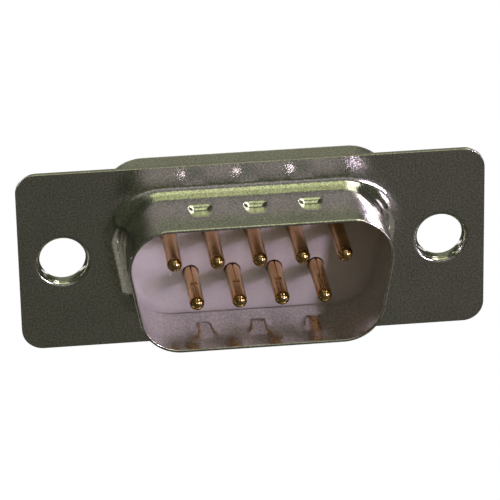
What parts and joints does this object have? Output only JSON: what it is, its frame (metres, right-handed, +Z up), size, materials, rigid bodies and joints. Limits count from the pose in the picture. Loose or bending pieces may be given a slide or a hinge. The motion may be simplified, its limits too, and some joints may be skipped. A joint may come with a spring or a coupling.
{
  "type": "d-sub connector",
  "caption": "Male D-sub connector: a flanged metal shell with a D-shaped nose around gold contact pins in a white insulator, and solder cups behind for the wires.",
  "frame": {"origin": "centre of the flange's front face, half-way between the two fixing holes", "axes": "+X along the flange, to the right as seen by the mate; the nose and pins point along -Y, towards the mate; +Z up, with the longer row of contacts on top"},
  "size_m": [0.0308, 0.0148, 0.0126],
  "materials": {
    "shell": "bright tin plate",
    "insulator": "satin moulded white",
    "contact": "gold flash"
  },
  "bodies": {
    "root": {"front_shell": "shell", "rear_shell": "shell", "front_insulator": "insulator", "rear_insulator": "insulator", "contact_1": "contact", "contact_2": "contact", "contact_3": "contact", "contact_4": "contact", "contact_5": "contact", "contact_6": "contact", "contact_7": "contact", "contact_8": "contact", "contact_9": "contact"}
  },
  "joints": []
}
